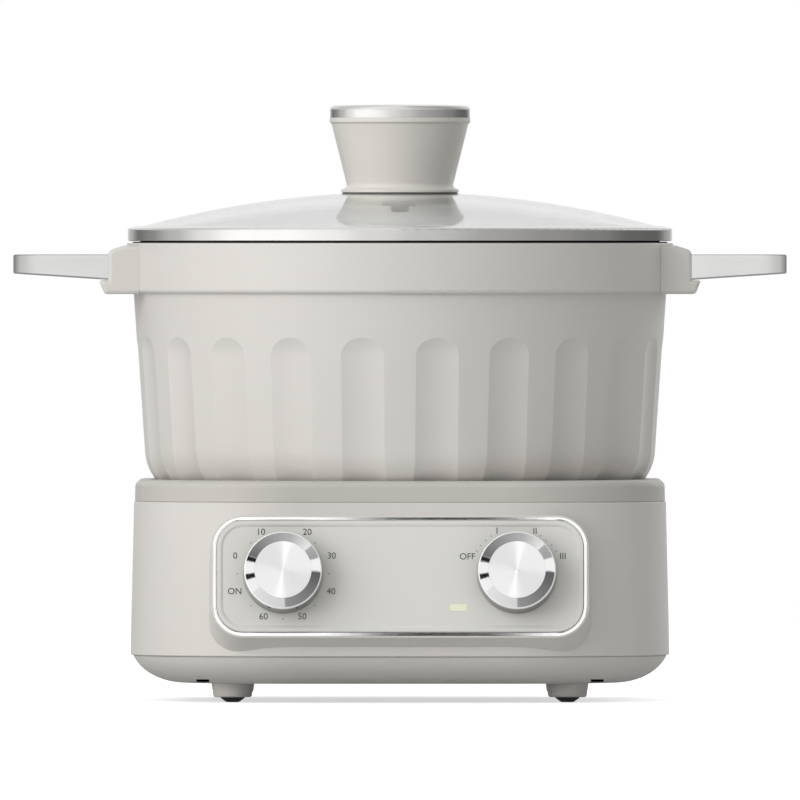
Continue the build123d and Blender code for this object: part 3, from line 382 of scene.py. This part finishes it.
def rim_steel_with_painted_shade():
    """Polished steel, dull and dark where the rolled edge turns under: painted shade of the gap between it and the
    pot.
    """
    g = metal("rim_steel", polished_steel, 0.10, stretch=(1, 1, 60))
    z = g.height()
    low = pot_high.z + rim_gap
    above = g.step(z, low, low + rim_turn)
    # Painted shade: the lower edge is darkened and dulled for the shadow in the gap under the rim.
    g.tint(g.math("SUBTRACT", 1.0, above), srgb(50, 48, 46))
    g.shade(Metallic=above, Specular_IOR_Level=g.math("MULTIPLY", above, 0.5))

    # The lower edge is shaded as the upright side goes on, so that its facets don't show.
    distance, tangent = g.radial(pot_axis, upwards)
    outward = g.vector("CROSS_PRODUCT", tangent, upwards)
    edge = g.math("MULTIPLY", g.math("LESS_THAN", z, low + rim_edge),
                  g.math("GREATER_THAN", distance, rim_radius - rim_edge))
    smooth = g.add("ShaderNodeNewGeometry").outputs["Normal"]
    g.put(g.mix(edge, smooth, outward, "VECTOR"), g.fed("Normal").node.inputs["Normal"])
    return g


def pot_coating_and_painted_shade():
    """Satin coating outside; a darker non-stick coating inside, and the same dark painted over the seat of the rim
    as shade of the gap under the lid's rim.
    """
    g = coated("pot_coat", srgb(205, 202, 197), 0.36, sprayed)
    z = g.height()
    distance, _ = g.radial(pot_axis, upwards)

    # Depth in the pot's wall, counted from the middle line of its bottom corner.
    height = g.math("SUBTRACT", z, pot_low.z + pot_corner)
    above = g.math("MAXIMUM", height, 0.0)
    below = g.math("MAXIMUM", g.math("MULTIPLY", height, -1.0), 0.0)
    upright = g.math("MULTIPLY_ADD", above, -pot_slope, distance)
    side = g.math("MAXIMUM", g.math("SUBTRACT", upright, pot_corner_middle), 0.0)
    squares = g.math("ADD", g.math("POWER", side, 2.0), g.math("POWER", below, 2.0))
    within = g.math("LESS_THAN", g.math("SQRT", squares), pot_corner - pot_wall_middle)

    dark = srgb(64, 63, 61)
    # The dark inside is the non-stick coating; the dark on the seat is painted shade of the gap under the lid's
    # rim.
    mask = g.math("MAXIMUM", within, g.math("GREATER_THAN", z, pot_high.z - rim_seat))
    g.tint(mask, g.ramp(g.noise(*speckle), (0.4, scaled(dark, 0.8)), (0.7, scaled(dark, 1.25))))
    g.shade(Roughness=g.mix(mask, g.fed("Roughness"), 0.45))
    return g


def clear_glass():
    """Tempered glass that lets light through to what is under it."""
    g = Graph("clear_glass")
    g.shade(Base_Color=(0.975, 0.985, 0.982, 1), IOR=1.5, Transmission_Weight=1.0,
            Roughness=g.ramp(g.noise(*smear), (0.45, 0.0), (0.8, 0.02)))
    through = g.add("ShaderNodeBsdfTransparent", {"Color": (0.93, 0.94, 0.94, 1)}).outputs[0]
    shadow = g.add("ShaderNodeLightPath").outputs["Is Shadow Ray"]
    g.put(g.mix_shaders(shadow, g.shader.outputs[0], through), g.output.inputs["Surface"])
    return g


def make_materials():
    """Materials by the name of a slot, or of a node that has one of its own."""
    graphs = {name: coated(name, *look) for name, look in coatings.items()}
    graphs.update({name: metal(name, *look) for name, look in metals.items()})
    graphs["pot_coat"] = pot_coating_and_painted_shade()
    graphs["glass"] = clear_glass()
    graphs["rim_steel"] = rim_steel_with_painted_shade()
    graphs["plate_metal"] = turned_metal("plate_metal", srgb(176, 176, 174), 0.32, pot_axis,
                                         upwards, **plate_rings)
    graphs["lid_knob_screw"] = graphs["lid_knob_washer"] = graphs["dark_steel"]
    for knob, centre in (("timer_knob", timer_axis), ("heat_knob", heat_axis)):
        graphs[knob] = dial_chrome(knob, centre)
        graphs[knob + "_face"] = turned_metal(knob + "_face", srgb(246, 246, 246), 0.42, centre,
                                              panel_out, **dial_rings)
    return {name: graph.material for name, graph in graphs.items()}


materials = make_materials()
for name, node in nodes.items():
    assign(node, materials[name if name in materials else slots[name]])


# ---------------------------------------------------------------- the sensor's spring
def make_spring():
    """The spring's coil: a copy of the spring's mesh that rides with the base, in place of the hidden CAD spring.
    """
    node = nodes["sensor_spring"]
    coil = placed("sensor_coil", node.data.copy())
    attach(coil, "base")
    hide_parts(node.name)
    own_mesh(coil)


make_spring()


# ---------------------------------------------------------------- printing on the panel
text_height = 0.0031            # of a capital or a number
capital_share = 0.72            # of the font's size
dot_radius = 0.00026
dot_sides = 24
print_thickness = 0.00002
print_lift = 0.00003            # the middle of the printing stands this far off the field

# Marks as (text, x, y) and dots as (x, y), in millimetres from the dial's axis.
timer_marks = [("0", -22.8, 8.6), ("10", -10.6, 20.0), ("20", 11.5, 20.0), ("30", 23.1, 8.6),
               ("40", 22.9, -8.5), ("50", 9.1, -20.6), ("60", -9.3, -20.6), ("ON", -23.0, -8.5)]
timer_dots = [(-15.3, 14.8), (15.3, 14.8), (21.8, 0), (15.2, -15.3), (0, -21.7), (-15.3, -15.3),
              (-21.8, 0)]
heat_marks = [("OFF", -23.6, 8.2), ("I", -9.5, 20.6), ("II", 8.6, 20.4), ("III", 21.9, 8.4)]
heat_dots = [(-19.2, 10.9), (-17.3, 13.6), (-14.9, 16.1), (-12.3, 18.1), (11.2, 18.2),
             (13.9, 16.2), (16.6, 13.7), (18.8, 10.9)]


def text_mesh(name, text):
    curve = bpy.data.curves.new(name, "FONT")
    curve.body = text
    curve.size = text_height / capital_share
    curve.align_x = "CENTER"
    curve.align_y = "CENTER"
    curve.extrude = print_thickness / 2
    source = placed(name + "_curve", curve)
    bpy.context.view_layer.update()
    mesh = bpy.data.meshes.new_from_object(source)
    bpy.data.objects.remove(source)
    return mesh


def dot_mesh(name):
    shape = bmesh.new()
    bmesh.ops.create_cone(shape, cap_ends=True, segments=dot_sides, radius1=dot_radius,
                          radius2=dot_radius, depth=print_thickness)
    return mesh_of(name, shape)


def make_printed(name, mesh, centre, x, y):
    """Piece of printing, x millimetres to the right and y up from a dial's axis."""
    to_panel = Matrix((panel_right, panel_up, panel_out)).transposed().to_4x4()
    to_panel.translation = (centre + panel_right * (x / 1000) + panel_up * (y / 1000)
                            + panel_out * (field_depth + print_lift))
    mesh.transform(to_panel)
    piece = placed(name, mesh)
    assign(piece, materials["dark_ink"])
    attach(piece, "base")


for dial, centre, marks, dots in (("timer", timer_axis, timer_marks, timer_dots),
                                  ("heat", heat_axis, heat_marks, heat_dots)):
    for label, x, y in marks:
        name = f"{dial}_mark_{label}"
        make_printed(name, text_mesh(name, label), centre, x, y)
    for i, (x, y) in enumerate(dots):
        name = f"{dial}_dot_{i}"
        make_printed(name, dot_mesh(name), centre, x, y)


# ---------------------------------------------------------------- camera and floor
pixel = 0.00048                 # metres of the object per pixel of an 800 pixel picture
picture = 800
foot_row = 700                  # row of the picture that the feet stand on
view_elevation = 0.3            # degrees above the horizon
focal_length = 1500.0           # millimetres, as the sensor
sensor_width = 36.0
view_reach = 100.0              # the camera sees this far
look_at = Vector((0.0, 0.0, (foot_row - picture / 2) * pixel))
floor_half = 3.0
floor_grey = 0.72
floor_glow = 0.6                # added towards the camera alone


def direction_to(azimuth, elevation):
    """Unit vector towards an azimuth, from the front towards the right, and an elevation."""
    a, e = math.radians(azimuth), math.radians(elevation)
    return Vector((math.sin(a) * math.cos(e), -math.cos(a) * math.cos(e), math.sin(e)))


def aim(thing, azimuth, elevation, distance):
    """Put a camera or a lamp in that direction, facing the object."""
    toward = direction_to(azimuth, elevation)
    thing.location = look_at + toward * distance
    thing.rotation_euler = toward.to_track_quat("Z", "Y").to_euler()


def make_camera():
    camera = placed("camera", bpy.data.cameras.new("camera"))
    aim(camera, 0, view_elevation, picture * pixel * focal_length / sensor_width)
    camera.data.lens = focal_length
    camera.data.sensor_width = sensor_width
    camera.data.clip_end = view_reach
    bpy.context.scene.camera = camera


def make_floor():
    shape = bmesh.new()
    bmesh.ops.create_grid(shape, x_segments=1, y_segments=1, size=floor_half)
    floor = placed("floor", mesh_of("floor", shape))
    g = Graph("floor")
    seen = g.add("ShaderNodeLightPath").outputs["Is Camera Ray"]
    g.shade(Base_Color=(floor_grey, floor_grey, floor_grey, 1), Roughness=0.8,
            Specular_IOR_Level=0.1, Emission_Color=white,
            Emission_Strength=g.math("MULTIPLY", seen, floor_glow))
    assign(floor, g.material)
    floor.visible_glossy = False


# ---------------------------------------------------------------- light
# Brightness of the studio round the object, by the direction it lies in: degrees from the front
# towards the right. A softbox fills the left front, dark flags stand behind the two sides.
# Polished metal shows the first list at eye level and the second one above it, the loops of the
# handles show the third.
mirrored = [(-180, 0.95), (-160, 0.5), (-146, 0.2), (-132, 0.3), (-111, 0.6), (-92, 0.98),
            (-74, 1.3), (-50, 1.3), (-30, 1.15), (-12, 0.9), (10, 0.7), (40, 0.46), (66, 0.36),
            (92, 0.27), (115, 0.16), (140, 0.14), (158, 0.42), (180, 0.95)]
mirrored_above = [(-180, 0.9), (-120, 0.7), (-60, 1.1), (0, 0.9), (45, 0.6), (100, 0.4),
                  (180, 0.9)]
mirrored_by_handles = [(-180, 0.2), (-150, 0.25), (-100, 0.62), (-50, 0.84), (0, 0.84), (50, 0.82),
                       (100, 0.6), (150, 0.25), (180, 0.2)]
mirrored_below = 0.28
# Heights on a sphere of radius 1 between which the first list fades into the one above it, and
# between which the brightness below it fades into the first list.
above_eye_level = (0.06, 0.22)
below_eye_level = (-0.15, -0.04)
surroundings_size = 16.0
handle_surroundings_size = 18.0
softbox_distance = 2.6

# Soft light that matt surfaces alone get, by direction and above it, with the heights between
# which the first fades into the second.
fill = [(-180, 0.9), (-140, 0.3), (-100, 0.15), (-50, 0.72), (0, 0.84), (50, 0.47), (100, 0.1),
        (135, 0.5), (165, 1.0), (180, 0.9)]
fill_above = 0.7
fill_heights = (0.3, 0.8)

# Tube along the panel that its chrome ring shows: places along it and the brightness there. The
# dark stretch in front of the right half is the room behind the camera.
tube = [(-2.0, 1.25), (-0.034, 1.2), (-0.008, 0.04), (0.052, 0.02), (0.070, 1.2), (2.0, 1.2)]
tube_radius = 0.5
tube_sides = 32

# Rings of cards round the direction that the dials' faces mirror to the camera. A ring reaches
# from one angle off that direction to another. A card is its start and end as angles round it,
# clockwise from the top, the brightness at each end, and the ring it stands in. The widest ring
# stands beside and behind the dials for their sides.
inner = (0.5, 30.5)
bevel = (31.0, 46.0)
outer = (48.0, 76.0)
beside = (76.0, 140.0)
dial_cards = [(-74, 8, 0.13, 0.55, bevel), (8, 46, 0.5, 1.0, bevel),
              (46, 68, 0.5, 0.42, bevel), (68, 91, 1.1, 1.1, bevel), (91, 178, 0.13, 0.36, bevel),
              (178, 236, 0.8, 0.95, bevel), (236, 257, 1.1, 1.1, bevel),
              (257, 266, 0.01, 0.01, bevel), (266, 286, 1.1, 1.1, bevel),
              (0, 360, 0.9, 0.9, beside)]
# The fine rings of the faces spread what they show, so cards of their own light them.
face_cards = [(-2, 14, 4.2, 4.2, outer), (182, 198, 4.2, 4.2, outer), (14, 92, 1.4, 1.3, outer),
              (92, 124, 1.1, 1.1, outer), (124, 182, 1.3, 1.4, outer), (198, 358, 1.4, 1.4, outer),
              (0, 360, 1.12, 1.12, inner)]
bevel_cards = [(0, 360, 0.85, 0.85, outer), (0, 360, 0.85, 0.85, inner)]
card_step = 3                   # degrees from one place of a card's outline to the next
# Name, cards, distance and the slots that show them. Glowing cards that coincide turn dark, so
# those of the bevels stand behind the others.
card_sets = [("card", dial_cards, 4.0, ("dial_face", "dial_chrome")),
             ("face_card", face_cards, 4.0, ("dial_face",)),
             ("bevel_card", bevel_cards, 4.6, ("dial_chrome",))]
# The slots that show walls, cards or a tube of their own.
own_surroundings = {"handle_metal", "panel_chrome", "dial_face", "dial_chrome"}


def make_world():
    """Soft light for all but mirroring, and white behind the object."""
    world = bpy.data.worlds.new("studio")
    world.use_nodes = True
    world.cycles.sampling_method = "NONE"
    bpy.context.scene.world = world
    w = Nodes(world.node_tree)
    share, height = w.direction(w.add("ShaderNodeTexCoord").outputs["Generated"])
    soft = w.mix(w.step(height, *fill_heights), w.around(share, fill), fill_above)
    ray = w.add("ShaderNodeLightPath").outputs
    light = w.glow("ShaderNodeBackground", w.mix(ray["Is Diffuse Ray"], 0.0, soft))
    behind = w.glow("ShaderNodeBackground", 1.0)
    seen = w.math("MAXIMUM", ray["Is Camera Ray"], ray["Is Transmission Ray"])
    w.add("ShaderNodeOutputWorld", {"Surface": w.mix_shaders(seen, light, behind)})


def glowing(name, level):
    """Clear material that glows; level adds its nodes and gives the socket of the brightness."""
    material = bpy.data.materials.new(name)
    material.use_nodes = True
    n = Nodes(material.node_tree)
    light = n.glow("ShaderNodeEmission", level(n))
    clear = n.add("ShaderNodeBsdfTransparent").outputs[0]
    both = n.add("ShaderNodeAddShader", {0: light, 1: clear}).outputs[0]
    n.add("ShaderNodeOutputMaterial", {"Surface": both})
    return material


def shown_by(name, wanted):
    """Collection of the CAD pieces in some slots, which alone show a glowing thing."""
    group = bpy.data.collections.new("shows_" + name)
    for node in nodes.values():
        if slots[node.name] in wanted:
            group.objects.link(node)
    return group


def only_mirrored(thing, receivers):
    """Show a glowing thing in reflections alone, on the given pieces."""
    for flag in ("camera", "diffuse", "transmission", "shadow", "volume_scatter"):
        setattr(thing, "visible_" + flag, False)
    thing.light_linking.receiver_collection = receivers


def make_surroundings(name, size, levels, above, wanted):
    """Box round the stage whose walls glow, shown by the pieces in the wanted slots alone."""
    def level(n):
        share, height = n.direction(n.add("ShaderNodeTexCoord").outputs["Object"])
        high = n.mix(n.step(height, *above_eye_level), n.around(share, levels),
                     n.around(share, above))
        return n.mix(n.step(height, *below_eye_level), mirrored_below, high)

    shape = bmesh.new()
    bmesh.ops.create_cube(shape, size=size)
    walls = placed(name, mesh_of(name, shape))
    assign(walls, glowing(name, level))
    only_mirrored(walls, shown_by(name, wanted))


def card_level(n):
    """Brightness of a card, which its mesh holds."""
    return n.add("ShaderNodeAttribute", attribute_name="level").outputs["Fac"]


card_material = glowing("card", card_level)


def glowing_sheet(name, rows, receivers, closed=False):
    """Sheet that glows; rows are pairs of a line of places, closed or not, and a brightness."""
    shape = bmesh.new()
    layer = shape.verts.layers.float_color.new("level")
    lines = []
    for places, level in rows:
        line = [shape.verts.new(place) for place in places]
        for vertex in line:
            vertex[layer] = (level, level, level, 1)
        lines.append(line)
    for near, far in zip(lines, lines[1:]):
        for k in range(0 if closed else 1, len(near)):
            shape.faces.new((near[k - 1], near[k], far[k], far[k - 1]))
    sheet = placed(name, mesh_of(name, shape))
    assign(sheet, card_material)
    only_mirrored(sheet, receivers)


def make_tube():
    angles = [2 * math.pi * k / tube_sides for k in range(tube_sides)]
    ring = [Vector((0, math.cos(a), math.sin(a))) * tube_radius for a in angles]
    rows = []
    for x, level in tube:
        middle = Vector((x, dials_middle.y, dials_middle.z))
        rows.append(([middle + offset for offset in ring], level))
    glowing_sheet("tube", rows, shown_by("tube", {"panel_chrome"}), closed=True)


def make_cards(name, cards, distance, wanted):
    """Rings of glowing cards, shown by the pieces in the wanted slots alone."""
    view_back = direction_to(0, view_elevation)
    middle = (panel_out * 2 * panel_out.dot(view_back) - view_back).normalized()
    up = middle.cross(panel_right).normalized()
    receivers = shown_by(name, wanted)
    for i, (start, end, low, high, ring) in enumerate(cards):
        steps = max(2, round((end - start) / card_step))
        rows = []
        for k in range(steps + 1):
            share = k / steps
            angle = math.radians(start + (end - start) * share)
            outward = panel_right * math.sin(angle) + up * math.cos(angle)
            places = [dials_middle + (middle * math.cos(off) + outward * math.sin(off)) * distance
                      for off in map(math.radians, ring)]
            rows.append((places, low + (high - low) * share))
        glowing_sheet(f"{name}_{i}", rows, receivers)


def make_softbox(name, azimuth, elevation, size, power):
    """Square lamp that lights the object but doesn't show in polished metal."""
    lamp = placed(name, bpy.data.lights.new(name, "AREA"))
    lamp.data.size = size
    lamp.data.energy = power
    aim(lamp, azimuth, elevation, softbox_distance)
    lamp.visible_glossy = False
    lamp.visible_camera = False


make_camera()
make_floor()
make_world()
make_surroundings("surroundings", surroundings_size, mirrored, mirrored_above,
                  set(slots.values()) - own_surroundings)
make_surroundings("surroundings_of_handles", handle_surroundings_size, mirrored_by_handles,
                  mirrored_by_handles, {"handle_metal"})
for name, cards, distance, wanted in card_sets:
    make_cards(name, cards, distance, wanted)
make_tube()
make_softbox("key", azimuth=-49, elevation=18, size=2.2, power=43)
make_softbox("edge", azimuth=147, elevation=8, size=0.8, power=42)
bpy.context.scene.view_settings.view_transform = "Standard"
